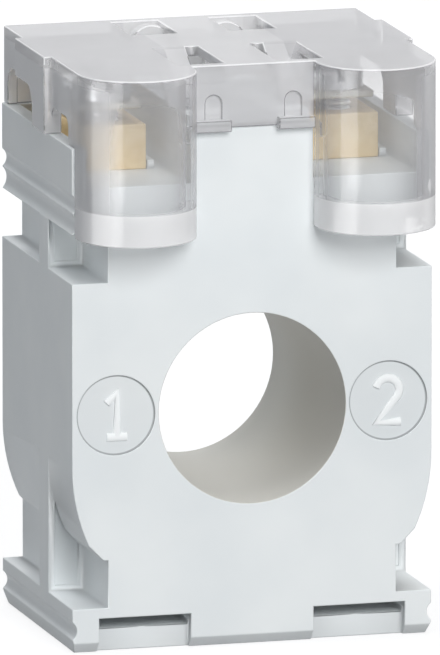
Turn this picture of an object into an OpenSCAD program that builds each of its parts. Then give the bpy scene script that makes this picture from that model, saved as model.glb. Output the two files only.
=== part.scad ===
// Window-type current transformer with two screw terminals under a clear hooded cover.
// Millimetres. X runs to the right, Y to the back and Z up. The origin lies on the foot's
// resting face, on the centre line and half way through the body's depth.

/* [Window and core] */
// Diameter of the window that the primary cable passes through
bore_d = 21.5; // [16:0.5:40]
// Wall of the tube that lines the window
tube_wall = 1.25; // [0.8:0.05:2]
// Build of the core from its inside to its outside
core_build = 2.55; // [1.5:0.05:8]
// Wall of the two-part plastic box round the core
core_box_t = 0.4; // [0.3:0.05:1]
// Thickness of the copper winding on each side of the core box
winding_t = 1.2; // [0.8:0.1:3]
// Thickness of the tape round the winding
tape_t = 0.25; // [0.1:0.05:0.5]
// Diameter of the two lead wires
lead_d = 1.5; // [1:0.1:1.8]
// Wall of the sleeve on each lead
sleeve_t = 0.45; // [0.3:0.05:0.8]

/* [Body] */
// Depth of the body from front face to back face
body_d = 29.8; // [27:0.2:50]
// Thickness of the front wall
front_wall = 1.8; // [1.2:0.1:3]
// Wall at each side of the winding space
side_wall = 2.1; // [1.6:0.1:4]
// Height of the winding space's lowest point above the resting face
floor_t = 8.2; // [7.4:0.1:14]
// Roof over the winding space
roof_t = 1.9; // [1.2:0.1:5]
// Thickness of the plate that closes the back
rear_cover_t = 1.8; // [1.2:0.1:3]

/* [Foot and waist] */
// Height of the foot plate
foot_h = 5.1; // [4.6:0.1:5.6]
// Height of the waist between the foot and the drum
lower_waist_h = 5.35; // [4:0.05:7]
// Height of the waist between the drum and the terminal block
upper_waist_h = 5.5; // [4:0.1:8]
// How far the front part of the waist stands in from the side
front_waist_inset = 4.1; // [2:0.1:4.6]
// How far the rear part of the waist stands in from the side
rear_waist_inset = 2.3; // [1.4:0.1:3.4]
// Distance from the front face to the column on each side
column_from_front = 10.2; // [7:0.2:12]
// Width of the column along the depth
column_d = 3.8; // [2:0.1:6]
// Depth of the grip grooves along the sides
groove_depth = 0.5; // [0.2:0.05:0.7]
// Length of the chamfer under the front and back of the foot
foot_chamfer_d = 1.06; // [0.4:0.02:1.4]
// Height of the chamfer under the front and back of the foot
foot_chamfer_h = 1.2; // [0.4:0.1:1.6]

/* [Clip slots] */
// Distance from the centre line to the inner end of a slot
slot_inner_x = 7.1; // [5:0.1:9]
// Width of a slot
slot_w = 10.5; // [6:0.5:11]
// Height of a slot's roof above the resting face
slot_h = 3.9; // [3:0.1:4.2]
// Height of the ledge inside a slot
slot_ledge_h = 2.5; // [1:0.1:2.7]
// How far the ledge stands back from the face
slot_ledge_back = 1.5; // [0.5:0.1:3]
// How deep a slot reaches above its ledge
slot_reach = 11; // [6:0.5:13]

/* [Marks] */
// Diameter of the round recessed fields beside the window
badge_d = 9; // [6:0.2:9.4]
// Distance from the rim of a round field to the side of the body
badge_margin = 0.53; // [0.3:0.01:2]
// Depth of the round fields
badge_depth = 0.3; // [0.1:0.05:0.6]

/* [Terminal deck] */
// Height of the deck above the underside of the terminal block
deck_rise = 5.2; // [4.6:0.1:8]
// Thickness of the deck
deck_t = 2; // [1.4:0.1:2.2]
// Height of the side walls above the deck, where the clear cover rests
chamber_h = 4.5; // [4:0.1:5.4]
// Wall of the terminal chambers
chamber_wall = 1.7; // [1.2:0.1:2.2]
// Half width of the tower between the two terminal chambers
tower_hw = 7; // [6:0.1:7.6]
// Height of the tower above the side walls
tower_rise = 2.9; // [2.2:0.1:3.6]
// Height of the front wall between the hoods above the side walls
lip_rise = 1.6; // [0.8:0.1:2]

/* [Terminals] */
// Width of a brass terminal bar
bar_w = 7.8; // [7:0.1:8.6]
// Height of a brass terminal bar
bar_h = 5.1; // [4.2:0.1:6]
// Distance from the front face to the front end of a bar
bar_from_front = 9.7; // [8.5:0.1:11]
// Gap between a bar and the side wall of its chamber
bar_side_gap = 1.7; // [1:0.1:2.2]
// Distance between the two screws of a bar
screw_pitch_y = 8; // [7.2:0.1:9]
// Thread diameter of a clamp screw
screw_d = 4; // [3:0.5:4.5]
// Diameter of a clamp screw's head
head_d = 6.6; // [5:0.2:7.2]
// Height of a clamp screw's head
head_h = 2.2; // [1.6:0.1:2.6]
// Length of a square clamp plate along the bar
clamp_l = 7; // [6:0.1:7.8]
// Width of a clamp plate across the bar
clamp_w = 7.4; // [6.4:0.1:8.2]
// Thickness of a clamp plate
clamp_t = 0.8; // [0.6:0.1:1.2]
// How far a clamp plate travels up and down from its half-open place
clamp_travel = 1.4; // [0.7:0.1:2]

/* [Clear cover] */
// Wall of the clear cover
cover_wall = 1.2; // [0.9:0.1:1.4]
// Free height over a screw that is wound right out
head_room = 1; // [0.5:0.1:3]
// How far the cover's sides stand in from the body's sides
cover_inset = 0.25; // [0.1:0.05:0.6]
// How far the middle band stands out from the cover's sides
band_proud = 0.85; // [0.3:0.05:1.2]
// Distance from the front face to the middle band
band_from_front = 9.6; // [8.6:0.2:12]
// Width of the middle band along the depth
band_d = 12.4; // [8:0.2:13]
// How far the hoods stand out in front of the body
hood_proud = 7.95; // [7.1:0.05:10]
// How far the hoods' open lower rims hang below the top of the side walls
hood_drop = 10; // [8:0.5:13]
// Height of the thicker band round each lower rim
hood_band_h = 3.5; // [2:0.1:5]
// Extra thickness of the band round each lower rim
hood_band_t = 0.3; // [0.1:0.05:0.5]

/* [Cover windows] */
// Distance from the centre line to the inner edge of the four top windows
window_inner_x = 3; // [2:0.1:3.6]
// Width of the top windows
window_w = 5.35; // [4.6:0.05:5.9]
// Distance from the front face to the front windows
front_window_y = 1; // [0.9:0.1:2]
// Length of the front windows along the depth
front_window_l = 10.8; // [9:0.2:12]
// Length of the rear windows along the depth
rear_window_l = 8.6; // [7.6:0.1:9.6]
// Length of the sloping tongues along the depth
tongue_run = 7.25; // [6:0.05:8.6]
// Thickness of the sloping tongues
tongue_t = 1; // [0.8:0.1:1.4]
// Radius of the round-topped lugs in the rear windows
lug_r = 2.5; // [2:0.1:2.8]
// Thickness of the round-topped lugs
lug_t = 2.2; // [1.4:0.1:2.6]

/* [Hidden] */

$fn = 96;

// Running clearances, and how far a cut runs past a face
seat_gap = 0.1;
loose_gap = 0.3;
thread_gap = 0.05;
past = 1;
LEFT = -1;
RIGHT = 1;
FRONT = 0;
REAR = 1;

// The wound core, from the tube outwards; it sets how wide and how high the body is
bore_r = bore_d / 2;
tube_r = bore_r + tube_wall;
winding_in_r = tube_r + loose_gap;
box_in_r = winding_in_r + winding_t;
core_in_r = box_in_r + core_box_t;
core_out_r = core_in_r + core_build;
box_out_r = core_out_r + core_box_t;
winding_out_r = box_out_r + winding_t;
tape_out_r = winding_out_r + tape_t;
cavity_r = tape_out_r + loose_gap;

// The body round it
body_hw = cavity_r + side_wall;
front_y = -body_d / 2;
back_y = body_d / 2;
bore_z = floor_t + cavity_r;
shoulder_z = foot_h + lower_waist_h;
drum_low_z = 0.1;
drum_tangent_z = drum_low_z + body_hw;
block_z = bore_z + cavity_r + roof_t;
drum_top_z = block_z - upper_waist_h;
deck_z = block_z + deck_rise;
body_h = deck_z + chamber_h;
front_lip_z = body_h + lip_rise;
tower_z = body_h + tower_rise;
badge_x = body_hw - badge_margin - badge_d / 2;

// The winding space and the back's inset plate
foot_web = 1.6;
rear_ledge = 0.8;
cavity_hw = body_hw - front_waist_inset - front_wall;
cavity_low_z = foot_h + foot_web;
cavity_high_z = deck_z - deck_t;
cavity_front_y = front_y + front_wall;
rear_seat_y = back_y - rear_cover_t;

// Along the depth the core fills the same space
winding_from_y = cavity_front_y + loose_gap;
winding_to_y = rear_seat_y - loose_gap;
box_from_y = winding_from_y + winding_t;
box_to_y = winding_to_y - winding_t;
core_from_y = box_from_y + core_box_t;
core_to_y = box_to_y - core_box_t;
winding_round = 0.9;

// The grooves along the sides: how high each one's middle stands, and its opening
foot_groove_z = 2.62;
foot_groove_w = 1.96;
lower_groove_rise = 1.25;
lower_groove_w = 2.5;
upper_groove_rise = 3.5;
upper_groove_w = 2;
foot_taper = 0.4;
foot_taper_h = foot_groove_z - foot_groove_w / 2;
shoulder_chamfer = 0.8;
panel_margin_x = 0.8;
panel_margin_z = 0.7;
panel_depth = 0.25;

// The chambers lie between the tower and the side walls
chamber_hw = body_hw - chamber_wall;
chamber_back_y = back_y - chamber_wall;
tower_wall = 1.6;
rib_w = 0.8;
rib_h = 1;
end_rib_t = 1;

// Each bar fills its chamber from its front end to the rib at the back
bar_x = chamber_hw - bar_side_gap - bar_w / 2;
bar_y = front_y + bar_from_front;
bar_l = chamber_back_y - end_rib_t - seat_gap - bar_y;
bar_top_z = deck_z + bar_h;
clamp_gap = clamp_travel + seat_gap;
clamp_z = bar_top_z + clamp_gap;
head_z = clamp_z + clamp_t;
screw_r = screw_d / 2;
screw_mid_y = bar_y + bar_l / 2;
screw_l = head_z - deck_z - clamp_travel - loose_gap;
drive_slot_w = 0.8;
drive_depth = 1.2;
head_edge = 0.35;

// Each lead runs up from the winding, across under the deck and up into its bar
lead_r = lead_d / 2;
sleeve_r = lead_r + sleeve_t;
lead_start_x = 5;
lead_run_drop = 2.4;
lead_run_z = cavity_high_z - lead_run_drop;
lead_into_bar = 1.5;

// The clear cover
cover_hw = body_hw - cover_inset;
cover_under_z = head_z + head_h + clamp_travel + head_room;
cover_top_z = cover_under_z + cover_wall;
hood_rim_z = body_h - hood_drop;
hood_r = (cover_hw - tower_hw) / 2;
hood_x = tower_hw + hood_r;
hood_y = front_y - hood_proud + hood_r;
panel_proud = 0.35;
arch_x = 4.58;
arch_w = 1.8;
arch_h = 2.7;
arch_depth = 0.4;
ledge_inner_x = 2.7;
ledge_outer_x = tower_hw - seat_gap;
ledge_rise = 1;
ledge_low_z = front_lip_z - loose_gap;
ledge_high_z = front_lip_z + ledge_rise;
ledge_proud = 1;

// Cut-outs along the cover's sides, where wires may leave
front_arch_y = 2.6;
front_arch_l = band_from_front - front_arch_y;
front_arch_h = 3;
front_arch_r = 1.2;
rear_arch_margin = 1.6;
rear_arch_l = 13.4;
rear_arch_y = body_d - rear_arch_margin - rear_arch_l;
rear_arch_h = 4.4;
rear_arch_r = 2.2;

window_outer_x = window_inner_x + window_w;
rear_window_y = body_d - cover_wall - rear_window_l;
tongue_margin = 1.45;
tongue_x = window_inner_x + tongue_margin;
lug_from_edge = 1.3;
lug_x = window_inner_x + lug_from_edge;
lug_sink = 0.2;
lug_top_z = cover_top_z - lug_sink;

// Draws a profile of the XZ plane from one Y to another
module along_y(from, to) {
    translate([0, to, 0]) rotate([90, 0, 0]) linear_extrude(to - from) children();
}

// Draws a profile of the YZ plane from one X to another
module along_x(from, to) {
    translate([from, 0, 0]) rotate([90, 0, 90]) linear_extrude(to - from) children();
}

// Gives a piece and its mirror image on the other side
module both_sides() {
    children();
    mirror([1, 0, 0]) children();
}

// A box between two corners
module block(low, high) {
    translate(low) cube(high - low);
}

// A rectangle between two corners
module field(low, high) {
    translate(low) square(high - low);
}

// A round rod or hole along Y, about a centre in the XZ plane
module rod_y(x, z, r, from, to) {
    translate([x, from, z]) rotate([-90, 0, 0]) cylinder(h = to - from, r = r);
}

// The radius of a round groove with this depth and opening
function groove_r(depth, opening) = (opening * opening / 4 + depth * depth) / (2 * depth);

// Section of the body where its waist is this wide: foot, waist, drum and terminal block
module body_section(waist_hw) {
    field([-body_hw, 0], [body_hw, foot_h]);
    field([-waist_hw, foot_h / 2], [waist_hw, block_z + past]);
    field([-body_hw, block_z], [body_hw, body_h]);
    field([-body_hw, drum_tangent_z], [body_hw, drum_top_z]);
    intersection() {
        translate([0, drum_tangent_z]) circle(r = body_hw, $fn = 180);
        difference() {
            field([-body_hw, shoulder_z], [body_hw, drum_tangent_z + past]);
            both_sides() shoulder_corner();
        }
    }
}

// The small chamfer where the drum's round underside ends on the front shoulder
module shoulder_corner() {
    drop = drum_tangent_z - shoulder_z;
    x = sqrt(body_hw * body_hw - drop * drop);
    polygon([[x - shoulder_chamfer, shoulder_z - past], [x - shoulder_chamfer, shoulder_z],
        [x + shoulder_chamfer, shoulder_z + shoulder_chamfer * 2], [body_hw + past, shoulder_z - past]]);
}

// Outer form of the body: front part and rear part, which meet inside the column, and the tower
module body_outer() {
    column_y = front_y + column_from_front;
    meet_y = column_y + column_d / 2;
    along_y(front_y, meet_y) body_section(body_hw - front_waist_inset);
    along_y(column_y, column_y + column_d) field([-body_hw, 0], [body_hw, body_h]);
    along_y(meet_y, back_y) body_section(body_hw - rear_waist_inset);
    block([-tower_hw, front_y, block_z], [tower_hw, front_y + front_wall + past, front_lip_z]);
    block([-tower_hw, front_y + front_wall, block_z], [tower_hw, chamber_back_y, tower_z]);
}

// One round-bottomed grip groove along the side
module side_groove(z, opening) {
    r = groove_r(groove_depth, opening);
    rod_y(body_hw + r - groove_depth, z, r, front_y - past, back_y + past);
}

// The grip grooves along one side, and the slight taper under the foot
module side_grooves() {
    side_groove(foot_groove_z, foot_groove_w);
    side_groove(block_z + lower_groove_rise, lower_groove_w);
    side_groove(block_z + upper_groove_rise, upper_groove_w);
    along_y(front_y - past, back_y + past)
        polygon([[body_hw, foot_taper_h], [body_hw - foot_taper, 0],
            [body_hw - foot_taper, -past], [body_hw + past, -past], [body_hw + past, foot_taper_h]]);
}

// The chamfer under the front edge of the foot
module foot_edge() {
    along_x(-body_hw - past, body_hw + past)
        polygon([[front_y - past, -past], [front_y - past, foot_chamfer_h],
            [front_y, foot_chamfer_h], [front_y + foot_chamfer_d, 0], [front_y + foot_chamfer_d, -past]]);
}

// One slot for a mounting clip, open to the front and below
module clip_slot() {
    block([slot_inner_x, front_y - past, -past],
        [slot_inner_x + slot_w, front_y + slot_ledge_back, slot_h]);
    block([slot_inner_x, front_y - past, slot_ledge_h],
        [slot_inner_x + slot_w, front_y + slot_reach, slot_h]);
}

// Outline of the winding space, grown by a ledge where the rear cover drops in
module cavity_section(grow) {
    translate([0, bore_z]) circle(r = cavity_r + grow);
    field([-cavity_hw - grow, cavity_low_z - grow], [cavity_hw + grow, cavity_high_z + grow]);
}

// The space for the wound core, the tube kept, with the room for the leads under the tower
module winding_space() {
    difference() {
        along_y(cavity_front_y, back_y + past) cavity_section(0);
        rod_y(0, bore_z, tube_r, front_y, back_y);
    }
    difference() {
        along_y(rear_seat_y, back_y + past) cavity_section(rear_ledge);
        rod_y(0, bore_z, tube_r, front_y, back_y);
    }
    block([-tower_hw + tower_wall, cavity_front_y, cavity_high_z - past],
        [tower_hw - tower_wall, chamber_back_y - tower_wall, tower_z - tower_wall]);
}

// One terminal chamber above the deck, open to the front and upwards
module terminal_chamber() {
    block([tower_hw, front_y - past, deck_z], [chamber_hw, chamber_back_y, body_h + past]);
}

// The ribs that hold one terminal bar on the deck
module bar_ribs() {
    inner_x = bar_x - bar_w / 2 - seat_gap;
    outer_x = bar_x + bar_w / 2 + seat_gap;
    end_y = bar_y + bar_l + seat_gap;
    back = chamber_back_y + chamber_wall / 2;
    block([inner_x - rib_w, bar_y, deck_z - past], [inner_x, back, deck_z + rib_h]);
    block([outer_x, bar_y, deck_z - past], [outer_x + rib_w, back, deck_z + rib_h]);
    block([inner_x - rib_w, end_y, deck_z - past], [outer_x + rib_w, back, deck_z + rib_h]);
}

// The shallow sunk panel on the front face of one column, above and below the drum
module column_panel() {
    column_y = front_y + column_from_front;
    inner_x = body_hw - front_waist_inset + panel_margin_z;
    outer_x = body_hw - panel_margin_x;
    for (z = [[foot_h, drum_tangent_z], [drum_top_z, block_z]])
        block([inner_x, column_y - past, z[0] + panel_margin_z],
            [outer_x, column_y + panel_depth, z[1] - panel_margin_z]);
}

// The sunk panel only shows beside the waist, so the drum is kept in front of it
module column_panels() {
    intersection() {
        column_panel();
        difference() {
            block([0, front_y, 0], [body_hw + past, back_y, body_h]);
            along_y(front_y - past, front_y + column_from_front) body_section(body_hw - front_waist_inset);
        }
    }
}

// The moulded body, open at the back
module housing() color("gainsboro") {
    difference() {
        body_outer();
        both_sides() side_grooves();
        foot_edge();
        mirror([0, 1, 0]) foot_edge();
        both_sides() clip_slot();
        mirror([0, 1, 0]) both_sides() clip_slot();
        rod_y(0, bore_z, bore_r, front_y - past, back_y + past);
        winding_space();
        both_sides() terminal_chamber();
        both_sides() column_panels();
        both_sides() rod_y(badge_x, bore_z, badge_d / 2, front_y - past, front_y + badge_depth);
        both_sides() translate([bar_x, screw_mid_y, cavity_high_z - past])
            cylinder(h = deck_t + past * 2, r = sleeve_r + seat_gap, $fn = 32);
    }
    both_sides() bar_ribs();
}

// The flat plate that closes the back, round the window tube
module rear_cover() color("lightgray") {
    difference() {
        along_y(rear_seat_y, back_y) cavity_section(rear_ledge - seat_gap);
        rod_y(0, bore_z, tube_r + seat_gap, rear_seat_y - past, back_y + past);
    }
}

// Outline of one hood seen from above, round in front and flat at the back, its wall moved in
module hood_section(inset, back) {
    r = hood_r - inset;
    intersection() {
        translate([hood_x, hood_y]) circle(r = r);
        field([hood_x - r, hood_y - r], [hood_x + r, hood_y]);
    }
    field([hood_x - r, hood_y], [hood_x + r, back]);
}

// A cut-out along one side wall of the cover, with rounded upper corners
module side_arch(from_front, length, height, r) {
    y = front_y + from_front;
    top_z = body_h + height;
    along_x(tower_hw + past, body_hw + band_proud + past) {
        field([y, body_h - past], [y + length, top_z - r]);
        field([y + r, body_h - past], [y + length - r, top_z]);
        for (corner_y = [y + r, y + length - r]) translate([corner_y, top_z - r]) circle(r = r);
    }
}

// One arched recess in the cover's front panel
module panel_arch() {
    round_z = ledge_high_z + arch_h - arch_w / 2;
    y = front_y - panel_proud;
    along_y(y - past, y + arch_depth) {
        field([arch_x - arch_w / 2, ledge_high_z], [arch_x + arch_w / 2, round_z]);
        translate([arch_x, round_z]) circle(r = arch_w / 2, $fn = 32);
    }
}

// The sloping tongue that closes the back of one front window
module tongue() {
    back = front_y + front_window_y + front_window_l;
    fall = cover_top_z - tower_z - loose_gap - tongue_t;
    along_x(tongue_x, window_outer_x)
        polygon([[back, cover_top_z], [back - tongue_run, cover_top_z - fall],
            [back - tongue_run, cover_top_z - fall - tongue_t], [back, cover_top_z - tongue_t]]);
}

// The round-topped lug that stands in one rear window
module lug() {
    lug_back = back_y - cover_wall;
    along_y(lug_back - lug_t, lug_back) {
        translate([lug_x, lug_top_z - lug_r]) circle(r = lug_r, $fn = 48);
        field([lug_x - lug_r, tower_z + loose_gap], [lug_x + lug_r, lug_top_z - lug_r]);
    }
}

// Outer form of the clear cover: lid, side bands, two hoods and the front panel with its ledges
module cover_outer() {
    block([-cover_hw, front_y, body_h], [cover_hw, back_y, cover_top_z]);
    band_y = front_y + band_from_front;
    block([-cover_hw - band_proud, band_y, body_h], [cover_hw + band_proud, band_y + band_d, cover_top_z]);
    both_sides() translate([0, 0, hood_rim_z])
        linear_extrude(cover_top_z - hood_rim_z) hood_section(0, front_y - seat_gap);
    both_sides() translate([0, 0, body_h])
        linear_extrude(cover_top_z - body_h) hood_section(0, front_y + cover_wall);
    block([-tower_hw - past, front_y - panel_proud, front_lip_z],
        [tower_hw + past, front_y + cover_wall, cover_top_z]);
    both_sides() block([ledge_inner_x, front_y - panel_proud - ledge_proud, ledge_low_z],
        [ledge_outer_x, front_y - seat_gap, ledge_high_z]);
}

// The room inside the cover and its hoods
module cover_inner() {
    block([-cover_hw + cover_wall, front_y + cover_wall, body_h - past],
        [cover_hw - cover_wall, back_y - cover_wall, cover_under_z]);
    block([-tower_hw - past, front_y, body_h - past],
        [tower_hw + past, front_y + cover_wall + past, front_lip_z]);
    both_sides() translate([0, 0, hood_rim_z - past])
        linear_extrude(cover_under_z - hood_rim_z + past)
            hood_section(cover_wall + hood_band_t, front_y + cover_wall + past);
    both_sides() translate([0, 0, hood_rim_z + hood_band_h])
        linear_extrude(cover_under_z - hood_rim_z - hood_band_h)
            hood_section(cover_wall, front_y + cover_wall + past);
}

// One pair of windows through the top of the cover, front and rear
module top_windows() {
    for (w = [[front_window_y, front_window_l], [rear_window_y, rear_window_l]])
        block([window_inner_x, front_y + w[0], cover_under_z - past],
            [window_outer_x, front_y + w[0] + w[1], cover_top_z + past]);
}

// The clear cover over both terminals
module terminal_cover() color("whitesmoke", 0.5) {
    difference() {
        cover_outer();
        cover_inner();
        both_sides() top_windows();
        both_sides() side_arch(front_arch_y, front_arch_l, front_arch_h, front_arch_r);
        both_sides() side_arch(rear_arch_y, rear_arch_l, rear_arch_h, rear_arch_r);
        both_sides() panel_arch();
    }
    both_sides() tongue();
    both_sides() lug();
}

// A ring about the window's axis
module ring(in_r, out_r, from, to) {
    difference() {
        rod_y(0, bore_z, out_r, from, to);
        rod_y(0, bore_z, in_r, from - past, to + past);
    }
}

// The ring of wound steel strip
module core() color("slategray") {
    ring(core_in_r + seat_gap, core_out_r - seat_gap, core_from_y + seat_gap, core_to_y - seat_gap);
}

// Half of the box round the core, from its end wall to where it meets the other half
module core_box_half(meet_y) {
    difference() {
        ring(box_in_r + seat_gap, box_out_r - seat_gap, box_from_y + seat_gap, meet_y);
        ring(core_in_r, core_out_r, core_from_y, meet_y + past);
    }
}

module core_box_front() color("black") core_box_half((box_from_y + box_to_y) / 2);

module core_box_rear() color("black")
    translate([0, box_from_y + box_to_y, 0]) mirror([0, 1, 0]) core_box_half((box_from_y + box_to_y) / 2);

// Section of the winding with rounded outer corners, at its radius from the axis
module winding_section() {
    r = winding_round;
    w = winding_out_r - winding_in_r;
    l = winding_to_y - winding_from_y;
    translate([winding_in_r, 0]) {
        translate([r, 0]) square([w - 2 * r, l]);
        translate([0, r]) square([w, l - 2 * r]);
        for (x = [r, w - r], y = [r, l - r]) translate([x, y]) circle(r = r, $fn = 32);
    }
}

// The copper winding, wound right round the core box
module secondary_winding() color("peru") {
    difference() {
        translate([0, winding_to_y, bore_z]) rotate([90, 0, 0]) rotate_extrude() winding_section();
        ring(box_in_r, box_out_r, box_from_y, box_to_y);
    }
}

// The tape round the winding
module winding_tape() color("khaki") {
    ring(winding_out_r, tape_out_r, winding_from_y + winding_round, winding_to_y - winding_round);
}

// One lead: up from the winding, across, and up through the deck into its bar
module lead(side) {
    start_z = bore_z + sqrt(pow(tape_out_r, 2) - pow(lead_start_x - lead_r, 2)) + seat_gap;
    top_z = deck_z + lead_into_bar;
    start_x = side * lead_start_x;
    end_x = side * bar_x;
    translate([0, screw_mid_y, 0]) {
        translate([start_x, 0, start_z]) cylinder(h = lead_run_z - start_z, r = lead_r, $fn = 32);
        translate([start_x, 0, lead_run_z]) sphere(r = lead_r, $fn = 32);
        translate([min(start_x, end_x), 0, lead_run_z]) rotate([0, 90, 0])
            cylinder(h = abs(end_x - start_x), r = lead_r, $fn = 32);
        translate([end_x, 0, lead_run_z]) sphere(r = lead_r, $fn = 32);
        translate([end_x, 0, lead_run_z]) cylinder(h = top_z - lead_run_z, r = lead_r, $fn = 32);
    }
}

module lead_left() color("chocolate") lead(LEFT);
module lead_right() color("chocolate") lead(RIGHT);

// The sleeve on one lead where it passes through the deck
module lead_sleeve(side) {
    low_z = lead_run_z + lead_r + seat_gap;
    high_z = deck_z - seat_gap;
    translate([side * bar_x, screw_mid_y, low_z]) difference() {
        cylinder(h = high_z - low_z, r = sleeve_r, $fn = 32);
        translate([0, 0, -past]) cylinder(h = high_z - low_z + past * 2, r = lead_r + thread_gap, $fn = 32);
    }
}

module lead_sleeve_left() color("ivory") lead_sleeve(LEFT);
module lead_sleeve_right() color("ivory") lead_sleeve(RIGHT);

// The depth at which a front or rear screw stands
function screw_y(place) = screw_mid_y + (place == FRONT ? -1 : 1) * screw_pitch_y / 2;

// One brass bar with two threaded holes and a socket for its lead
module terminal_bar(side) {
    difference() {
        translate([side * bar_x - bar_w / 2, bar_y, deck_z]) cube([bar_w, bar_l, bar_h]);
        for (place = [FRONT, REAR])
            translate([side * bar_x, screw_y(place), deck_z - past])
                cylinder(h = bar_h + past * 2, r = screw_r + thread_gap);
        translate([side * bar_x, screw_mid_y, deck_z - past])
            cylinder(h = lead_into_bar + thread_gap + past, r = lead_r + thread_gap, $fn = 32);
    }
}

module terminal_bar_left() color("goldenrod") terminal_bar(LEFT);
module terminal_bar_right() color("goldenrod") terminal_bar(RIGHT);

// One square clamp plate with its clearance hole
module clamp_plate(side, place) {
    translate([side * bar_x, screw_y(place), clamp_z]) difference() {
        translate([-clamp_w / 2, -clamp_l / 2, 0]) cube([clamp_w, clamp_l, clamp_t]);
        translate([0, 0, -past]) cylinder(h = clamp_t + past * 2, r = screw_r + seat_gap);
    }
}

module clamp_plate_front_left() color("silver") clamp_plate(LEFT, FRONT);
module clamp_plate_front_right() color("silver") clamp_plate(RIGHT, FRONT);
module clamp_plate_rear_left() color("silver") clamp_plate(LEFT, REAR);
module clamp_plate_rear_right() color("silver") clamp_plate(RIGHT, REAR);

// One clamp screw, raised to its half-open place, with a cross slot in its head; one arm of the
// slot stops short of the rim, which shows how far the screw has turned
module clamp_screw(side, place) {
    translate([side * bar_x, screw_y(place), head_z]) difference() {
        rotate_extrude() polygon([[0, -screw_l], [screw_r - head_edge, -screw_l],
            [screw_r, -screw_l + head_edge], [screw_r, 0], [head_d / 2, 0],
            [head_d / 2, head_h - head_edge], [head_d / 2 - head_edge, head_h], [0, head_h]]);
        for (turn = [0, 90]) rotate(turn)
            translate([-head_d / 2 - past, -drive_slot_w / 2, head_h - drive_depth])
                cube([turn == 0 ? head_d + past * 2 : head_d, drive_slot_w, drive_depth + past]);
    }
}

module clamp_screw_front_left() color("gray") clamp_screw(LEFT, FRONT);
module clamp_screw_front_right() color("gray") clamp_screw(RIGHT, FRONT);
module clamp_screw_rear_left() color("gray") clamp_screw(LEFT, REAR);
module clamp_screw_rear_right() color("gray") clamp_screw(RIGHT, REAR);

housing();
rear_cover();
terminal_cover();
core();
core_box_front();
core_box_rear();
secondary_winding();
winding_tape();
lead_left();
lead_right();
lead_sleeve_left();
lead_sleeve_right();
terminal_bar_left();
terminal_bar_right();
clamp_plate_front_left();
clamp_plate_front_right();
clamp_plate_rear_left();
clamp_plate_rear_right();
clamp_screw_front_left();
clamp_screw_front_right();
clamp_screw_rear_left();
clamp_screw_rear_right();
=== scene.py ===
import math

import bmesh
import bpy
from mathutils import Matrix, Vector


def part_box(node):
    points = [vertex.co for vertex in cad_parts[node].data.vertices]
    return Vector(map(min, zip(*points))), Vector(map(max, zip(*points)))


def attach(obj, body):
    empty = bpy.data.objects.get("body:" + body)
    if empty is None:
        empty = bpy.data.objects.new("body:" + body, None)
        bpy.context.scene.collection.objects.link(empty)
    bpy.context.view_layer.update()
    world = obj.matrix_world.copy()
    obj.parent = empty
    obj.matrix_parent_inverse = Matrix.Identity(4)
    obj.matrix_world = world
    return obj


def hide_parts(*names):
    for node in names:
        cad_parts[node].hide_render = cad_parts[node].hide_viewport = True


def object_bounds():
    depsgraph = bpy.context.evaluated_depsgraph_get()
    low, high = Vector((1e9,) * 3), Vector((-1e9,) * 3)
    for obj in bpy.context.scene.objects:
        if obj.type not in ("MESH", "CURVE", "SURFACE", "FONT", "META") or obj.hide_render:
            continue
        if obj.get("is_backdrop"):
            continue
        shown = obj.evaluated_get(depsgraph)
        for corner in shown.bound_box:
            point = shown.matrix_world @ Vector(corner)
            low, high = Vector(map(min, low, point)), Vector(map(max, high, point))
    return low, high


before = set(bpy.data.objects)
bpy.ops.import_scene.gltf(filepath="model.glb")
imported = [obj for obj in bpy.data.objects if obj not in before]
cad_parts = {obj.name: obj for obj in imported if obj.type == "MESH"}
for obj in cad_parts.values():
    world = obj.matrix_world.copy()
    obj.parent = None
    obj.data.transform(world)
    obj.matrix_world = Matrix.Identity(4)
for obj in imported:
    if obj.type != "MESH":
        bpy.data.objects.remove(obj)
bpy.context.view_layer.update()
MM = 0.001

# Studio
# The transformer stands on a plain pale floor under soft lamps, and is seen from a little to
# its left and above. The lens is very long, because the product shows almost no perspective.
camera_yaw = math.radians(15.66)
camera_rise = math.radians(11.14)
camera_aim = Vector((0.44, 0, 33.05)) * MM
view_height = 73.01 * MM
sensor_size = 36
lens_length = 1150
nearest_seen = 0.1
farthest_seen = 50
camera_away = Vector((-math.sin(camera_yaw) * math.cos(camera_rise),
                      -math.cos(camera_yaw) * math.cos(camera_rise),
                      math.sin(camera_rise)))
camera_data = bpy.data.cameras.new("studio_camera")
camera_data.sensor_width = sensor_size
camera_data.lens = lens_length
camera_data.clip_start = nearest_seen
camera_data.clip_end = farthest_seen
camera = bpy.data.objects.new("studio_camera", camera_data)
bpy.context.scene.collection.objects.link(camera)
camera.location = camera_aim + camera_away * (view_height * lens_length / sensor_size)
camera.rotation_euler = (-camera_away).to_track_quat("-Z", "Y").to_euler()
bpy.context.scene.camera = camera
bpy.context.scene.view_settings.view_transform = "Standard"

lamp_aim = Vector((0, 0, 0.035))
white_light = (1, 1, 1)
cool_light = (0.86, 0.93, 1.0)


def softbox(name, place, size, watts):
    """A flat lamp at a place in metres, turned to the middle of the transformer."""
    data = bpy.data.lights.new(name, "AREA")
    data.shape = "RECTANGLE"
    data.size, data.size_y = size
    data.energy = watts
    lamp = bpy.data.objects.new(name, data)
    bpy.context.scene.collection.objects.link(lamp)
    lamp.location = place
    lamp.rotation_euler = (lamp_aim - Vector(place)).to_track_quat("-Z", "Y").to_euler()
    return lamp


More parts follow.
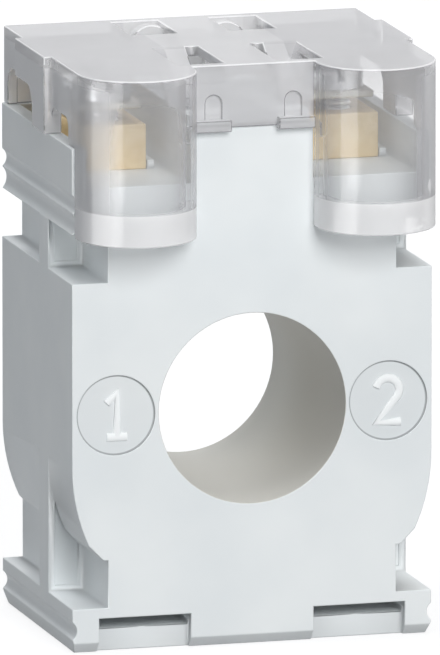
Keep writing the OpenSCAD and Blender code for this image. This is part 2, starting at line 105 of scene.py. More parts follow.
for name, place, size, watts, colour in (
        ("key_lamp", (0.05, -0.86, 0.48), (0.45, 0.4), 6.7, white_light),
        ("fill_lamp", (0.06, -0.85, 0.09), (0.4, 0.15), 1.15, white_light),
        ("top_lamp", (0.0, -0.06, 0.95), (0.5, 0.5), 4.3, white_light),
        ("side_lamp", (-0.62, 0.40, 0.45), (0.4, 0.4), 1.05, cool_light),
        ("back_lamp", (0.10, 0.70, 0.35), (0.4, 0.4), 2.0, white_light)):
    lamp = softbox(name, place, size, watts)
    lamp.data.color = colour
    lamp.visible_glossy = False
# This one only shows as a bright strip in glossy surfaces
strip_lamp = softbox("strip_lamp", (-0.122, -0.045, 0.055), (0.15, 0.11), 0.36)
strip_lamp.visible_diffuse = False
strip_lamp.visible_camera = False

# Floor and background
# A wide matt sheet carries the transformer's soft shadow. Camera and glossy rays see it and the
# background as white, and the lamps stay at the level at which the object's colours read true.
floor_half = 3
floor_glow_level = 0.78
ambient_level = 0.02


class Flow:
    """What a node's socket gives out, with operators that add the node for each step of a sum."""

    def __init__(self, tree, socket):
        self.tree = tree
        self.socket = socket

    def node(self, kind, settings=None, inputs=None, out=0):
        """What a new node of this kind gives out, with its settings and a value or flow for its inputs."""
        made = self.tree.nodes.new(kind)
        for key, value in (settings or {}).items():
            setattr(made, key, value)
        for key, value in (inputs or {}).items():
            if isinstance(value, Flow):
                self.tree.links.new(value.socket, made.inputs[key])
            else:
                made.inputs[key].default_value = value
        return Flow(self.tree, made.outputs[out])

    def maths(self, step, other=None, flipped=False):
        """One step of maths on this flow, alone or with another flow or a number."""
        pair = [self] if other is None else [other, self] if flipped else [self, other]
        return self.node("ShaderNodeMath", {"operation": step}, dict(enumerate(pair)))

    def __add__(self, other):
        return self.maths("ADD", other)

    def __sub__(self, other):
        return self.maths("SUBTRACT", other)

    def __rsub__(self, other):
        return self.maths("SUBTRACT", other, True)

    def __mul__(self, other):
        return self.maths("MULTIPLY", other)

    def __rtruediv__(self, other):
        return self.maths("DIVIDE", other, True)

    def __pow__(self, other):
        return self.maths("POWER", other)

    def __abs__(self):
        return self.maths("ABSOLUTE")

    __radd__ = __add__
    __rmul__ = __mul__

    def spread(self, low, high):
        """Runs from low to high as this runs from 0 to 1."""
        return self * (high - low) + low

    def between(self, low, high):
        """Runs from 0 at low to 1 at high, smoothly."""
        return self.node("ShaderNodeMapRange", {"interpolation_type": "SMOOTHSTEP"},
                         {0: self, 1: low, 2: high})

    def past(self, edge, blur):
        """Is 0 up to an edge and 1 from this blur beyond it."""
        return self.between(edge, edge + blur)

    def away(self, other):
        """How far this step and one square to it reach together."""
        return (self * self + other * other) ** 0.5

    def wave(self, pitch):
        """A sine along this length, with one wave for each pitch."""
        return (self * (2 * math.pi / pitch)).maths("SINE")

    def mix(self, first, second):
        """The colour that goes from first to second as this goes from 0 to 1."""
        return self.node("ShaderNodeMix", {"data_type": "RGBA"},
                         {0: self, 6: first, 7: second}, out=2)

    def part(self, axis):
        """One coordinate of a place: X, Y or Z."""
        return self.node("ShaderNodeSeparateXYZ", None, {0: self}, out=axis)

    def noise(self, scale, detail=2.0, stretch=(1, 1, 1)):
        """Cloudy noise in object space; scale is in cycles for each metre."""
        place = self.node("ShaderNodeMapping", None, {0: self, 3: stretch})
        return self.node("ShaderNodeTexNoise", None, {"Vector": place, "Scale": scale, "Detail": detail})

    def bump(self, strength, distance):
        """A normal that follows this height."""
        return self.node("ShaderNodeBump", None,
                         {"Height": self, "Strength": strength, "Distance": distance})


def rgb(red, green, blue):
    """A linear colour from screen values of 0 to 255."""
    return tuple(((c / 255 + 0.055) / 1.055) ** 2.4 for c in (red, green, blue)) + (1.0,)


def start_material(name, **fixed):
    """A material, its shader with these fixed values on its own sockets, and its place in object space."""
    material = bpy.data.materials.new(name)
    material.use_nodes = True
    tree = material.node_tree
    shader = tree.nodes["Principled BSDF"]
    for key, value in fixed.items():
        shader.inputs[key.replace("_", " ")].default_value = value
    place = Flow(tree, tree.nodes.new("ShaderNodeTexCoord").outputs["Object"])
    return material, shader, place


def feed(shader, **flows):
    """Joins a finished flow to each named socket of the shader."""
    for key, flow in flows.items():
        flow.tree.links.new(flow.socket, shader.inputs[key.replace("_", " ")])


def white_rays(tree):
    """Is 1 for the rays that see the floor and the background as white."""
    path = tree.nodes.new("ShaderNodeLightPath")
    seen, mirrored, through = (Flow(tree, path.outputs["Is %s Ray" % kind])
                               for kind in ("Camera", "Glossy", "Transmission"))
    return seen.maths("MAXIMUM", mirrored).maths("MAXIMUM", through)


floor_grey = rgb(126, 127, 129)
floor_corners = [(x * floor_half, y * floor_half, 0) for x, y in ((-1, -1), (1, -1), (1, 1), (-1, 1))]
floor_mesh = bpy.data.meshes.new("studio_floor")
floor_mesh.from_pydata(floor_corners, [], [(0, 1, 2, 3)])
floor = bpy.data.objects.new("studio_floor", floor_mesh)
bpy.context.scene.collection.objects.link(floor)
floor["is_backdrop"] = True
floor_paint, floor_shader, floor_place = start_material("studio_floor", Roughness=0.9, Base_Color=floor_grey)
floor_mesh.materials.append(floor_paint)
floor_tree = floor_paint.node_tree
floor_glow = floor_place.node("ShaderNodeEmission", None,
                              {"Strength": white_rays(floor_tree) * floor_glow_level})
floor_sum = floor_place.node("ShaderNodeAddShader", None,
                             {0: Flow(floor_tree, floor_shader.outputs[0]), 1: floor_glow})
floor_tree.links.new(floor_sum.socket, floor_tree.nodes["Material Output"].inputs["Surface"])

world = bpy.data.worlds.new("studio_white")
bpy.context.scene.world = world
world.use_nodes = True
world_tree = world.node_tree
world_level = white_rays(world_tree).spread(ambient_level, 1)
world_tree.links.new(world_level.socket, world_tree.nodes["Background"].inputs["Strength"])
world_tree.nodes["Background"].inputs["Color"].default_value = (1, 1, 1, 1)

# Core
# A ring of thin grain-oriented silicon steel strip, wound on itself like a clock spring. The
# edges of its layers show on both faces as fine rings.
core_low, core_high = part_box("core")
window_z = (core_low.z + core_high.z) / 2
strip_t = 0.3 * MM
strip_relief = 0.05 * MM
steel_dark = rgb(92, 96, 102)
steel_light = rgb(158, 162, 168)


def finish_node(name, material):
    """Gives a CAD node this finish."""
    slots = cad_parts[name].data.materials
    slots.clear()
    slots.append(material)


steel_paint, steel_shader, steel_place = start_material("core_steel", Metallic=1.0)
steel_radius = steel_place.part("X").away(steel_place.part("Z") - window_z)
steel_layers = steel_radius.wave(strip_t) * 0.5 + 0.5
steel_cloud = steel_place.noise(scale=400, detail=3)
feed(steel_shader,
     Base_Color=(steel_layers * 0.6 + steel_cloud * 0.4).mix(steel_dark, steel_light),
     Roughness=steel_cloud.spread(0.28, 0.53),
     Normal=steel_layers.bump(strength=0.35, distance=strip_relief))
finish_node("core", steel_paint)

# Core box
# Two moulded halves of black glass-filled polyamide close round the core and keep the winding's
# copper off the edges of the strip.
box_grain = 0.03 * MM
box_black = rgb(30, 31, 33)
box_worn = rgb(46, 47, 50)
box_paint, box_shader, box_place = start_material("box_plastic", Specular_IOR_Level=0.45)
box_cloud = box_place.noise(scale=700, detail=3)
box_fine = box_place.noise(scale=6000)
feed(box_shader,
     Base_Color=box_cloud.between(0.3, 0.7).mix(box_black, box_worn),
     Roughness=box_cloud.spread(0.42, 0.62),
     Normal=box_fine.bump(strength=0.3, distance=box_grain))
finish_node("core_box_front", box_paint)
finish_node("core_box_rear", box_paint)

# Secondary winding
# Enamelled copper wire, wound through the core box's ring turn beside turn all the way round.
# The turns lie close together along the inside of the ring and fan out over its outside.
winding_low, winding_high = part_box("secondary_winding")
winding_turns = 74
wire_r = 0.5 * MM
wire_room = wire_r * 1.1
wire_corners = 6
turn_corner = 0.85 * MM
turn_corner_steps = 3
winding_hole_r = 12.3 * MM
copper_dark = rgb(150, 74, 38)
copper_light = rgb(198, 108, 62)


def start_tree(name, inputs):
    """A Geometry Nodes tree with these named inputs, and what each of them gives out."""
    tree = bpy.data.node_groups.new(name, "GeometryNodeTree")
    tree.interface.new_socket("Geometry", in_out="INPUT", socket_type="NodeSocketGeometry")
    for label, kind in inputs.items():
        tree.interface.new_socket(label, in_out="INPUT", socket_type="NodeSocket" + kind)
    tree.interface.new_socket("Geometry", in_out="OUTPUT", socket_type="NodeSocketGeometry")
    start = tree.nodes.new("NodeGroupInput")
    return tree, {socket.name: Flow(tree, socket) for socket in start.outputs}


def end_tree(geometry, finish):
    """Makes a tree's instances real, gives them their finish and hands them out."""
    real = geometry.node("GeometryNodeRealizeInstances", None, {0: geometry})
    done = real.node("GeometryNodeSetMaterial", None, {0: real, "Material": finish})
    end = geometry.tree.nodes.new("NodeGroupOutput")
    geometry.tree.links.new(done.socket, end.inputs[0])


def new_piece(name, mesh=None):
    """An object at the origin for this mesh, or for an empty one."""
    piece = bpy.data.objects.new(name, mesh or bpy.data.meshes.new(name))
    bpy.context.scene.collection.objects.link(piece)
    return piece


def settle(piece):
    """Applies a piece's modifiers to its mesh."""
    graph = bpy.context.evaluated_depsgraph_get()
    done = bpy.data.meshes.new_from_object(piece.evaluated_get(graph))
    piece.modifiers.clear()
    piece.data = done


def grow(piece, tree, values):
    """Runs a Geometry Nodes tree on a piece with these values, and keeps the plain mesh that it makes."""
    nodes = piece.modifiers.new(tree.name, "NODES")
    nodes.node_group = tree
    for item in tree.interface.items_tree:
        if item.in_out == "INPUT" and item.name in values:
            nodes[item.identifier] = values[item.name]
    settle(piece)


turns_tree, turns_get = start_tree("wound_turns", {
    "Turns": "Int", "Wire Radius": "Float", "Inner Radius": "Float", "Outer Radius": "Float",
    "Front": "Float", "Back": "Float", "Corner": "Float", "Axis Height": "Float",
    "Finish": "Material"})
outer_r, inner_r = turns_get["Outer Radius"], turns_get["Inner Radius"]
front_side, back_side = turns_get["Front"], turns_get["Back"]
turn_path = outer_r.node("GeometryNodeCurvePrimitiveQuadrilateral", None,
                         {0: outer_r - inner_r, 1: back_side - front_side})
turn_path = turn_path.node("GeometryNodeFilletCurve", {"mode": "POLY"}, {
    "Curve": turn_path, "Radius": turns_get["Corner"], "Count": turn_corner_steps, "Limit Radius": True})
turn_place = outer_r.node("ShaderNodeCombineXYZ", None,
                          {0: (outer_r + inner_r) * 0.5, 1: (back_side + front_side) * 0.5})
turn_path = turn_path.node("GeometryNodeTransform", None, {0: turn_path, "Translation": turn_place})
wire_ring = turn_path.node("GeometryNodeCurvePrimitiveCircle", None,
                           {"Resolution": wire_corners, "Radius": turns_get["Wire Radius"]})
turn = turn_path.node("GeometryNodeCurveToMesh", None, {"Curve": turn_path, "Profile Curve": wire_ring})
turn = turn.node("GeometryNodeSetShadeSmooth", None, {0: turn})
turn_points = turn.node("GeometryNodeMeshLine", None, {"Count": turns_get["Turns"], "Offset": (0, 0, 0)})
turn_angle = turn.node("GeometryNodeInputIndex") * (2 * math.pi / turns_get["Turns"])
turn_spin = turn_angle.node("ShaderNodeCombineXYZ", None, {1: turn_angle})
turns_all = turn.node("GeometryNodeInstanceOnPoints", None,
                      {"Points": turn_points, "Instance": turn, "Rotation": turn_spin})
axis_place = turns_all.node("ShaderNodeCombineXYZ", None, {2: turns_get["Axis Height"]})
turns_all = turns_all.node("GeometryNodeTransform", None, {0: turns_all, "Translation": axis_place})
end_tree(turns_all, turns_get["Finish"])

copper_paint, copper_shader, copper_place = start_material(
    "enamelled_copper", Metallic=1.0, Coat_Roughness=0.15)
copper_cloud = copper_place.noise(scale=500, detail=3)
feed(copper_shader,
     Base_Color=copper_cloud.between(0.3, 0.7).mix(copper_dark, copper_light),
     Roughness=copper_cloud.spread(0.22, 0.42),
     Coat_Weight=copper_cloud.spread(0.5, 0.8))
winding = new_piece("wound_wire")
grow(winding, turns_tree, {
    "Turns": winding_turns, "Wire Radius": wire_r,
    "Inner Radius": winding_hole_r + wire_room,
    "Outer Radius": (winding_high.x - winding_low.x) / 2 - wire_room,
    "Front": winding_low.y + wire_room, "Back": winding_high.y - wire_room,
    "Corner": turn_corner, "Axis Height": window_z, "Finish": copper_paint})
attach(winding, "body")
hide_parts("secondary_winding")

# Winding tape
# Yellow polyester film tape holds the turns and insulates them. It is wrapped round the outside
# in overlapping laps, and the lap edges show as fine steps.
lap_pitch = 6.0 * MM
lap_slant = 0.12
lap_step = 0.05 * MM
tape_yellow = rgb(214, 176, 62)
tape_edge = rgb(164, 124, 34)
tape_paint, tape_shader, tape_place = start_material("tape_film", Specular_IOR_Level=0.6)
tape_cloud = tape_place.noise(scale=250, detail=3)
tape_laps = (tape_place.part("Y") + tape_place.part("X") * lap_slant).wave(lap_pitch).between(0.93, 0.99)
feed(tape_shader,
     Base_Color=(tape_laps * 0.6 + tape_cloud * 0.3).mix(tape_yellow, tape_edge),
     Roughness=tape_cloud.spread(0.24, 0.39),
     Normal=(tape_laps + tape_cloud * 0.2).bump(strength=0.4, distance=lap_step))
finish_node("winding_tape", tape_paint)

# Leads
# The two ends of the winding are bare copper wires, bent across under the deck. Where one
# passes up through the deck it wears a sleeve of varnished glass braid.
lead_dark = rgb(176, 92, 50)
lead_light = rgb(214, 132, 84)
lead_paint, lead_shader, lead_place = start_material("copper_wire", Metallic=1.0)
lead_cloud = lead_place.noise(scale=900, detail=3)
feed(lead_shader,
     Base_Color=lead_cloud.between(0.35, 0.65).mix(lead_dark, lead_light),
     Roughness=lead_cloud.spread(0.2, 0.4))
braid_pitch = 0.5 * MM
braid_relief = 0.04 * MM
braid_shade = rgb(206, 196, 168)
braid_light = rgb(240, 234, 214)
sleeve_paint, sleeve_shader, sleeve_place = start_material("sleeve_plastic", Specular_IOR_Level=0.5)
braid_up = (sleeve_place.part("Z") + sleeve_place.part("Y")).wave(braid_pitch)
braid_down = (sleeve_place.part("Z") - sleeve_place.part("Y")).wave(braid_pitch)
braid = braid_up * braid_down * 0.5 + 0.5
feed(sleeve_shader,
     Base_Color=braid.mix(braid_shade, braid_light),
     Roughness=braid.spread(0.45, 0.65),
     Normal=braid.bump(strength=0.5, distance=braid_relief))
for side in ("left", "right"):
    finish_node("lead_" + side, lead_paint)
    finish_node("lead_sleeve_" + side, sleeve_paint)

# Body
# The body and the plate in its back are pale grey glass-filled polyamide, moulded with a fine
# matt skin. The moulding's edges are slightly rounded, as the mould was.
body_edge = 0.13 * MM
rear_cover_edge = 0.1 * MM
body_grain = 0.02 * MM
body_colour = rgb(232, 236, 237)
body_shade = rgb(224, 229, 231)
sharp_from = math.radians(32)
flat_within = math.radians(0.5)
merge_gap = 0.002 * MM
flat_face_weight = 90


def moulded_copy(node, round_by, segments=3, edge_slot=-1):
    """A copy of a CAD node's mesh with its flat faces whole again and its edges rounded."""
    shape = bmesh.new()
    shape.from_mesh(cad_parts[node].data)
    bmesh.ops.remove_doubles(shape, verts=shape.verts, dist=merge_gap)
    bmesh.ops.dissolve_limit(shape, angle_limit=flat_within, verts=shape.verts, edges=shape.edges)
    weight = shape.edges.layers.float.new("bevel_weight_edge")
    for edge in shape.edges:
        if len(edge.link_faces) == 2 and edge.is_convex and edge.calc_face_angle() > sharp_from:
            edge[weight] = 1.0
    mesh = bpy.data.meshes.new(node + "_moulded")
    shape.to_mesh(mesh)
    shape.free()
    mesh.materials.clear()
    for face in mesh.polygons:
        face.use_smooth = True
    piece = new_piece(node + "_moulded", mesh)
    bevel = piece.modifiers.new("edge", "BEVEL")
    bevel.width = round_by
    bevel.segments = segments
    bevel.limit_method = "WEIGHT"
    bevel.use_clamp_overlap = False
    bevel.material = edge_slot
    flat = piece.modifiers.new("flat_faces", "WEIGHTED_NORMAL")
    flat.mode = "FACE_AREA"
    flat.weight = flat_face_weight
    return piece


# The two round fields beside the window are sunk a little. Their floors carry a little painted shade, and
# the foot of their rims a darker painted shade
front_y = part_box("housing")[0].y
field_x = 15.67 * MM
field_r = 4.5 * MM
field_floor_y = front_y + 0.3 * MM
field_end_y = front_y + 0.6 * MM
field_ring = 0.22 * MM
field_blur = 0.1 * MM
skin_blur = 0.06 * MM
recess_shade_grey = rgb(120, 123, 126)
body_plastic, body_shader, body_place = start_material("body_plastic", Specular_IOR_Level=0.4)
body_cloud = body_place.noise(scale=60, detail=3)
body_fine = body_place.noise(scale=9000)
body_up = body_place.part("Z") - window_z
field_away = (abs(body_place.part("X")) - field_x).away(body_up)
# Where the painted shade goes: over the sunk field, and most at the foot of its rim
field_sunk = (body_place.part("Y").past(front_y + skin_blur, skin_blur)
              * (1 - body_place.part("Y").past(field_end_y, field_blur))
              * (1 - field_away.past(field_r + field_blur, field_blur)))
field_foot_shade = field_sunk * field_away.past(field_r - field_ring, field_ring / 2)
# The inside of the window tube is painted a little warmer and darker, as painted shade in the tube
window_r = 10.75 * MM
window_spare = 0.02 * MM
window_shade_colour = rgb(212, 211, 205)
window_wall = 1 - body_place.part("X").away(body_up).past(window_r + window_spare, skin_blur)
# Inside the window tube the random tone gives way to the painted shade colour
tone_and_tube_shade = window_wall.mix(body_cloud.between(0.3, 0.7).mix(body_shade, body_colour), window_shade_colour)
feed(body_shader,
     Base_Color=(field_sunk * 0.07 + field_foot_shade * 0.6).mix(tone_and_tube_shade, recess_shade_grey),
     Roughness=body_cloud.spread(0.45, 0.55),
     Normal=body_fine.bump(strength=0.2, distance=body_grain))
for node, round_by in (("housing", body_edge), ("rear_cover", rear_cover_edge)):
    piece = moulded_copy(node, round_by)
    piece.data.materials.append(body_plastic)
    settle(piece)
    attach(piece, "body")
    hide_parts(node)

# Numerals
# The two round fields beside the window carry the raised numbers of the terminals above them.
# They belong to the body's moulding and stay just below its front face.
numeral_h = 5.0 * MM
stroke_r = 0.5 * MM
stroke_rise = 0.26 * MM
stroke_steps = 4
numeral_shade = rgb(240, 243, 244)
numeral_light = rgb(246, 249, 250)
numeral_paint, numeral_shader, numeral_place = start_material("numeral_plastic", Specular_IOR_Level=0.4)
numeral_cloud = numeral_place.noise(scale=60, detail=3)
feed(numeral_shader,
     Base_Color=numeral_cloud.mix(numeral_shade, numeral_light),
     Roughness=numeral_cloud.spread(0.4, 0.5))


def raised_numeral(name, strokes, x):
    """A numeral as rounded ridges along its strokes, which are given as shares of its height."""
    curve = bpy.data.curves.new(name, "CURVE")
    curve.dimensions = "3D"
    curve.bevel_depth = stroke_r
    curve.bevel_resolution = stroke_steps
    curve.use_fill_caps = True
    for stroke in strokes:
        spline = curve.splines.new("POLY")
        spline.points.add(len(stroke) - 1)
        for point, (across, up) in zip(spline.points, stroke):
            point.co = (across * numeral_h, 0, up * numeral_h, 1)
    drawn = bpy.data.objects.new(name, curve)
    bpy.context.scene.collection.objects.link(drawn)
    graph = bpy.context.evaluated_depsgraph_get()
    mesh = bpy.data.meshes.new_from_object(drawn.evaluated_get(graph))
    bpy.data.objects.remove(drawn)
    mesh.transform(Matrix.Translation((x, field_floor_y, window_z))
                   @ Matrix.Diagonal((1, stroke_rise / stroke_r, 1, 1)))
    for face in mesh.polygons:
        face.use_smooth = True
    piece = new_piece(name, mesh)
    piece.data.materials.append(numeral_paint)
    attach(piece, "body")


one_strokes = (((-0.20, 0.27), (0.03, 0.5), (0.03, -0.5)), ((-0.2, -0.5), (0.26, -0.5)))
bow_r = 0.27
bow_turn = range(165, -46, -15)
bow = [(bow_r * math.cos(math.radians(a)), 0.5 - bow_r + bow_r * math.sin(math.radians(a)))
       for a in bow_turn]
two_strokes = (bow + [(-0.27, -0.5), (0.30, -0.5)],)
raised_numeral("numeral_left", one_strokes, -field_x)
raised_numeral("numeral_right", two_strokes, field_x)

# Clear cover
# One moulding in clear, slightly hazy polycarbonate. It drops on over both terminals, and its
# hoods reach down in front of the body so that no live part can be touched.
clear_edge_round = 0.14 * MM
cover_low, cover_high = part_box("terminal_cover")
hood_inner_x = 7.1 * MM
hood_outer_x = cover_high.x
lid_top_z = cover_high.z
rim_band_z = cover_low.z + 3.5 * MM
rim_blur = 0.2 * MM
frost_start_y = front_y + 8 * MM
frost_full_y = front_y + 14 * MM
panel_side_x = hood_inner_x - 0.3 * MM
lid_skin_z = lid_top_z - 0.25 * MM
lid_skin_blur = 0.1 * MM
lid_under_z = lid_top_z - 1.4 * MM
lid_under_blur = 0.3 * MM
haze_x = hood_outer_x - 4.6 * MM
haze_blur = 2 * MM
wall_blur = 3 * MM
clear_grey = rgb(206, 206, 209)
clear_white = rgb(250, 250, 251)
clear_plastic, clear_shader, clear_place = start_material("clear_plastic", Specular_IOR_Level=0.0)
clear_x = abs(clear_place.part("X"))
clear_y = clear_place.part("Y")
clear_z = clear_place.part("Z")
clear_cloud = clear_place.noise(scale=120)
clear_turned = clear_place.node("ShaderNodeLayerWeight", None, {"Blend": 0.5}, out=1)
# Each hood's wall is thicker along its lower rim, and looks whiter there
thick_band = 1 - clear_z.past(rim_band_z, rim_blur)
# Only the hoods come from a polished mould; lid, front panel and back have a frosted skin
frosted_back = clear_y.between(frost_start_y, frost_full_y)
frosted_panel = 1 - clear_x.between(panel_side_x, hood_inner_x)
frosted_lid = clear_z.past(lid_skin_z, lid_skin_blur)
frosted = frosted_back.maths("MAXIMUM", frosted_panel).maths("MAXIMUM", frosted_lid)
# The outer walls under the lid are cloudy, and most so beside the body, behind its front face
under_lid = 1 - clear_z.past(lid_under_z, lid_under_blur)
hazy_side = under_lid * clear_x.past(haze_x, haze_blur)
hazy_wall = hazy_side * clear_y.past(front_y, wall_blur)
clear_whiteness = clear_cloud * 0.1 + frosted_panel * 0.2 + thick_band * 0.9 + hazy_wall * 0.7
clear_haze = clear_turned * 0.40 + clear_cloud * 0.05 + 0.07
rim_haze = thick_band * 0.40
wall_haze = hazy_side * 0.26 + hazy_wall * 0.22
skin_haze = (frosted - frosted_lid * 0.25) * 0.40
feed(clear_shader,
     Base_Color=clear_whiteness.mix(clear_grey, clear_white),
     Roughness=clear_cloud.spread(0.12, 0.18) + frosted * 0.06,
     Alpha=clear_haze + rim_haze + wall_haze + skin_haze)

# A clear gloss over the see-through plastic keeps its highlights bright
gloss_roughness = 0.16
gloss_straight = 0.02
gloss_turned = 0.3
clear_tree = clear_plastic.node_tree
mirror_gloss = clear_place.node("ShaderNodeBsdfPrincipled", None, {
    "Base Color": (1, 1, 1, 1), "Metallic": 1.0, "Roughness": gloss_roughness})
turned_away = clear_place.node("ShaderNodeLayerWeight", out="Facing")
glossed = clear_place.node("ShaderNodeMixShader", None, {
    0: turned_away ** 5 * gloss_turned + gloss_straight,
    1: Flow(clear_tree, clear_shader.outputs[0]), 2: mirror_gloss})
clear_tree.links.new(glossed.socket, clear_tree.nodes["Material Output"].inputs["Surface"])

# Its rounded edges get a material of their own: a painted white highlight round the lid, and grey painted
# shade round the front panel's arches
lid_edge_z = lid_top_z - 1.0 * MM
lid_edge_blur = 0.2 * MM
edge_highlight_white = rgb(248, 248, 250)
edge_shade_grey = rgb(150, 150, 152)
clear_edge_highlight, edge_shader, edge_place = start_material("clear_plastic_edge_highlight", IOR=1.49)
edge_cloud = edge_place.noise(scale=120)
lid_edge_highlight = edge_place.part("Z").past(lid_edge_z, lid_edge_blur)
panel_edge_shade = (1 - lid_edge_highlight) * (1 - abs(edge_place.part("X")).between(panel_side_x, hood_inner_x))
# Painted highlight white round the lid's edges, painted shade grey round the panel's arches
feed(edge_shader,
     Base_Color=(edge_cloud * 0.1 + panel_edge_shade * 0.9).mix(edge_highlight_white, edge_shade_grey),
     Roughness=edge_cloud.spread(0.2, 0.3),
     Alpha=edge_cloud * 0.1 + lid_edge_highlight * 0.5 + panel_edge_shade * 0.2 + 0.25)
cover = moulded_copy("terminal_cover", clear_edge_round, segments=2, edge_slot=1)
cover.data.materials.append(clear_plastic)
cover.data.materials.append(clear_edge_highlight)
settle(cover)
# The rounding overshoots where a pocket's corner comes close to the lid's front edge
for point in cover.data.vertices:
    point.co.z = min(point.co.z, lid_top_z)
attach(cover, "clear_cover")
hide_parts("terminal_cover")

# Terminal bars
# Each terminal is a bar sawn from drawn brass, with two tapped holes. Its drawn sides keep fine
# lines along their length, and its edges are broken.
bar_edge = 0.18 * MM
bar_relief = 0.02 * MM
brass_shade = rgb(238, 210, 160)
brass_light = rgb(252, 230, 186)
bar_brass, bar_shader, bar_place = start_material("bar_brass", Metallic=0.45)
brass_lines = bar_place.noise(scale=900, detail=3, stretch=(1, 0.05, 1))
brass_cloud = bar_place.noise(scale=220)
feed(bar_shader,
     Base_Color=(brass_lines * 0.5 + brass_cloud * 0.5).between(0.3, 0.7).mix(brass_shade, brass_light),
     Roughness=brass_lines.spread(0.35, 0.55),
     Normal=brass_lines.bump(strength=0.2, distance=bar_relief))
for side in ("left", "right"):
    node = "terminal_bar_" + side
    bar = moulded_copy(node, bar_edge, segments=2)
    bar.data.materials.append(bar_brass)
    settle(bar)
    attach(bar, "body")
    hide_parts(node)

# Clamp plates
# Small squares stamped from zinc-plated steel, each loose on its screw. It presses the wire down
# on the bar, and its stamped edges are rounded.
clamps = [(row, side) for row in ("front", "rear") for side in ("left", "right")]
plate_edge = 0.2 * MM
plate_shade = rgb(202, 198, 186)
plate_light = rgb(228, 225, 214)
plate_steel, plate_shader, plate_place = start_material("clamp_steel", Metallic=0.8)
plate_cloud = plate_place.noise(scale=500, detail=3)
feed(plate_shader,
     Base_Color=plate_cloud.between(0.3, 0.7).mix(plate_shade, plate_light),
     Roughness=plate_cloud.spread(0.25, 0.45))
for row, side in clamps:
    node = "clamp_plate_" + row + "_" + side
    plate = moulded_copy(node, plate_edge, segments=2)
    plate.data.materials.append(plate_steel)
    settle(plate)
    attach(plate, "clamp_" + row + "_" + side)
    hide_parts(node)

# Clamp screws
# M4 screws, cold headed from steel, with rolled threads and a bright zinc finish. The head is
# slotted across for a blade or a cross driver.
head_r = 3.3 * MM
head_h = 2.2 * MM
head_edge_r = 0.45 * MM
head_edge_turn = range(90, -1, -18)
head_steps = 40
seat_edge = 0.1 * MM
shank_l = 5.7 * MM
core_r = 1.62 * MM
point_l = 0.4 * MM
thread_r = 1.97 * MM
thread_pitch = 0.7 * MM
thread_l = shank_l - 0.5 * MM
thread_low_z = 0.36 * MM - shank_l
thread_steps = 20
ridge_corners = 4
slot_w = 0.8 * MM
slot_depth = 1.2 * MM
closed_arm = 1.0 * MM
cutter_spare = 1 * MM
screw_shade = rgb(222, 223, 226)
screw_light = rgb(242, 243, 245)


def screw_blank(name):
    """A turned screw blank standing on its head's seat at the origin, with its slots cut."""
    arc = [(head_r - head_edge_r + head_edge_r * math.sin(math.radians(a)),
            head_h - head_edge_r + head_edge_r * math.cos(math.radians(a))) for a in head_edge_turn]
    outline = [(0, -shank_l), (core_r - point_l, -shank_l), (core_r, point_l - shank_l), (core_r, 0),
               (head_r - seat_edge, 0), (head_r, seat_edge)] + arc + [(0, head_h)]
    shape = bmesh.new()
    points = [shape.verts.new((r, 0, z)) for r, z in outline]
    lines = [shape.edges.new(pair) for pair in zip(points, points[1:])]
    bmesh.ops.spin(shape, geom=points + lines, axis=(0, 0, 1), cent=(0, 0, 0),
                   steps=head_steps, angle=2 * math.pi)
    bmesh.ops.remove_doubles(shape, verts=shape.verts, dist=merge_gap)
    bmesh.ops.recalc_face_normals(shape, faces=shape.faces)
    mesh = bpy.data.meshes.new(name)
    shape.to_mesh(mesh)
    shape.free()
    blank = new_piece(name, mesh)
    cutter_shape = bmesh.new()
    reach = head_r + cutter_spare
    half_w = slot_w / 2
    for low, high in (((-reach, -half_w), (reach, half_w)),
                      ((-half_w, -reach), (half_w, head_r - closed_arm))):
        size = (high[0] - low[0], high[1] - low[1], slot_depth + cutter_spare)
        mid = ((high[0] + low[0]) / 2, (high[1] + low[1]) / 2, head_h - slot_depth + size[2] / 2)
        bmesh.ops.create_cube(cutter_shape, size=1,
                              matrix=Matrix.Translation(mid) @ Matrix.Diagonal((*size, 1)))
    cutter_mesh = bpy.data.meshes.new(name + "_cutter")
    cutter_shape.to_mesh(cutter_mesh)
    cutter_shape.free()
    cutter = new_piece(name + "_cutter", cutter_mesh)
    cut = blank.modifiers.new("slots", "BOOLEAN")
    cut.object = cutter
    cut.solver = "EXACT"
    cut.use_self = True
    settle(blank)
    bpy.data.objects.remove(cutter)
    return blank


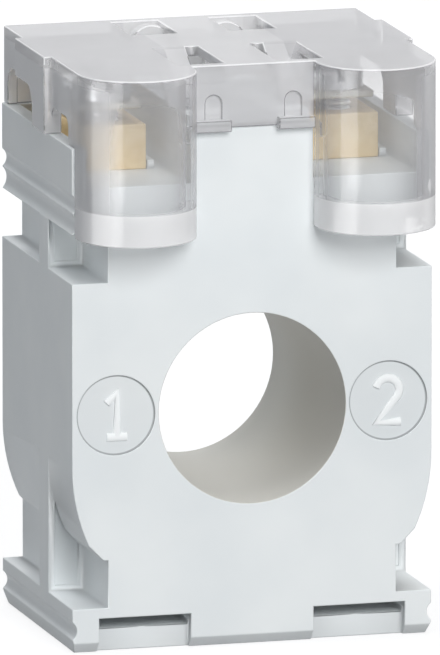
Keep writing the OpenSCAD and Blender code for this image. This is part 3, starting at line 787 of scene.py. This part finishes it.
thread_tree, thread_get = start_tree("rolled_thread", {
    "Turns": "Float", "Thread Radius": "Float", "Ridge": "Float", "Length": "Float",
    "From": "Float", "Place": "Vector", "Finish": "Material"})
blank_shape = thread_get["Geometry"]
thread_path = blank_shape.node("GeometryNodeCurveSpiral", None, {
    "Resolution": thread_steps, "Rotations": thread_get["Turns"], "Height": thread_get["Length"],
    "Start Radius": thread_get["Thread Radius"], "End Radius": thread_get["Thread Radius"]})
thread_path = thread_path.node("GeometryNodeSetCurveNormal", {"mode": "Z_UP"}, {"Curve": thread_path})
ridge_ring = thread_path.node("GeometryNodeCurvePrimitiveCircle", None,
                              {"Resolution": ridge_corners, "Radius": thread_get["Ridge"]})
ridge = thread_path.node("GeometryNodeCurveToMesh", None,
                         {"Curve": thread_path, "Profile Curve": ridge_ring, "Fill Caps": True})
ridge_low = ridge.node("ShaderNodeCombineXYZ", None, {2: thread_get["From"]})
ridge = ridge.node("GeometryNodeTransform", None, {0: ridge, "Translation": ridge_low})
threaded = blank_shape.node("GeometryNodeJoinGeometry", None, {0: blank_shape})
thread_tree.links.new(ridge.socket, threaded.socket.node.inputs[0])
threaded = threaded.node("GeometryNodeTransform", None, {0: threaded, "Translation": thread_get["Place"]})
end_tree(threaded, thread_get["Finish"])

screw_steel, screw_shader, screw_place = start_material("screw_steel", Metallic=0.9)
screw_cloud = screw_place.noise(scale=700, detail=3)
feed(screw_shader,
     Base_Color=screw_cloud.between(0.3, 0.7).mix(screw_shade, screw_light),
     Roughness=screw_cloud.spread(0.25, 0.45))
for row, side in clamps:
    node = "clamp_screw_" + row + "_" + side
    low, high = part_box(node)
    screw = screw_blank(node + "_turned")
    grow(screw, thread_tree, {
        "Turns": thread_l / thread_pitch, "Thread Radius": core_r, "Ridge": thread_r - core_r,
        "Length": thread_l, "From": thread_low_z,
        "Place": ((low.x + high.x) / 2, (low.y + high.y) / 2, high.z - head_h),
        "Finish": screw_steel})
    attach(screw, "screw_" + row + "_" + side)
    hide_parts(node)

low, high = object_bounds()
